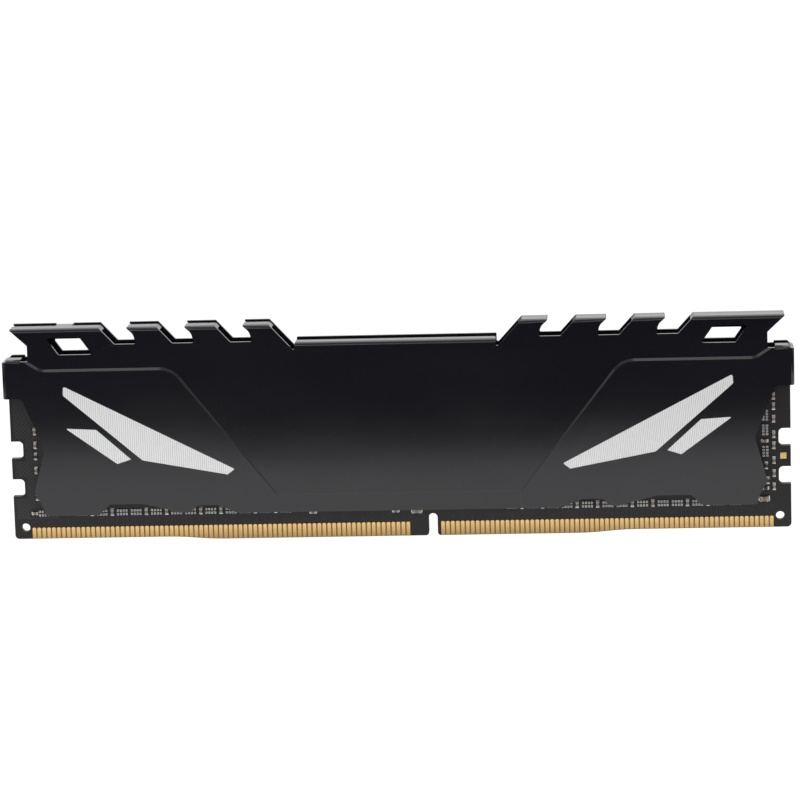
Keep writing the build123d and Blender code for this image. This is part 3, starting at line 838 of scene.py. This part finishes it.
def card_material():
    """Dark card, open in the middle, whose inner edge fades out."""
    look = Look("dark_card", (0.0, 0.0, 0.0), 1.0, Specular_IOR_Level=0.0)
    parts = look.node("SeparateXYZ", {"Vector": look.place})
    beside = look.math("SUBTRACT", look.math("ABSOLUTE", parts.outputs["X"], 0.0), cad_high[0])
    across = look.math("MAXIMUM", beside, 0.0)
    squares = [look.math("POWER", value, 2.0) for value in (across, parts.outputs["Y"])]
    distance = look.math("SQRT", look.math("ADD", *squares), 0.0)
    fade = look.node("MapRange", {"Value": distance, "From Min": CARD_NEAR * MM,
                                  "From Max": (CARD_NEAR + CARD_FADE) * MM})
    return look.wire(Alpha=fade.outputs["Result"])


plane("floor", -FLOOR_DROP, glow_material("pale_floor", FLOOR_GREY, FLOOR_GLOW))
card = plane("dark_card", CARD_LIFT, card_material())
card.visible_camera = False
card.visible_shadow = False


def studio_world():
    """White to the camera; the light comes from a low band in front, the top and the back."""
    world = bpy.data.worlds.new("studio")
    world.use_nodes = True
    nodes, links = world.node_tree.nodes, world.node_tree.links

    def math(operation, *values):
        made = nodes.new("ShaderNodeMath")
        made.operation = operation
        for socket, value in zip(made.inputs, values):
            if isinstance(value, bpy.types.NodeSocket):
                links.new(value, socket)
            else:
                socket.default_value = value
        return made.outputs[0]

    parts = nodes.new("ShaderNodeSeparateXYZ")
    links.new(nodes.new("ShaderNodeTexCoord").outputs["Generated"], parts.inputs[0])
    forward = math("MULTIPLY", parts.outputs["Y"], -1.0)
    ramp = nodes.new("ShaderNodeValToRGB")
    links.new(math("DIVIDE", math("ARCTAN2", parts.outputs["Z"], forward), pi), ramp.inputs["Fac"])
    elements = ramp.color_ramp.elements
    while len(elements) < len(SKY_STOPS):
        elements.new(0.5)
    for element, (turn, share) in zip(elements, SKY_STOPS):
        element.position = turn / 180
        element.color = (share, share, share, 1)
    sides = nodes.new("ShaderNodeMapRange")
    links.new(math("ABSOLUTE", parts.outputs["X"]), sides.inputs["Value"])
    for socket, value in zip(("From Min", "From Max", "To Min", "To Max"), SKY_SIDES):
        sides.inputs[socket].default_value = value
    light = math("MULTIPLY", math("MULTIPLY", ramp.outputs["Color"], sides.outputs["Result"]),
                 SKY_STRENGTH)
    seen = nodes.new("ShaderNodeMix")
    links.new(nodes.new("ShaderNodeLightPath").outputs["Is Camera Ray"], seen.inputs[0])
    links.new(light, seen.inputs[2])
    seen.inputs[3].default_value = 1.0
    background = nodes["Background"]
    background.inputs["Color"].default_value = (1, 1, 1, 1)
    links.new(seen.outputs[0], background.inputs["Strength"])
    return world


bpy.context.scene.world = studio_world()
bpy.context.scene.view_settings.view_transform = "Standard"


def make_camera():
    """Camera that looks at CAMERA_AIM from the given direction."""
    azimuth, elevation = radians(CAMERA_AZIMUTH), radians(CAMERA_ELEVATION)
    back = Vector((sin(azimuth) * cos(elevation), -cos(azimuth) * cos(elevation), sin(elevation)))
    right = Vector((cos(azimuth), sin(azimuth), 0))
    turn = Matrix((right, back.cross(right), back)).transposed()
    turn = turn @ Matrix.Rotation(radians(CAMERA_ROLL), 3, "Z")
    camera = bpy.data.objects.new("camera", bpy.data.cameras.new("camera"))
    camera.data.lens = CAMERA_LENS
    camera.data.clip_start, camera.data.clip_end = 0.01, 50
    camera.matrix_world = Matrix.Translation((Vector(CAMERA_AIM) + back * CAMERA_DISTANCE) * MM) \
        @ turn.to_4x4()
    bpy.context.scene.collection.objects.link(camera)
    bpy.context.scene.camera = camera


make_camera()
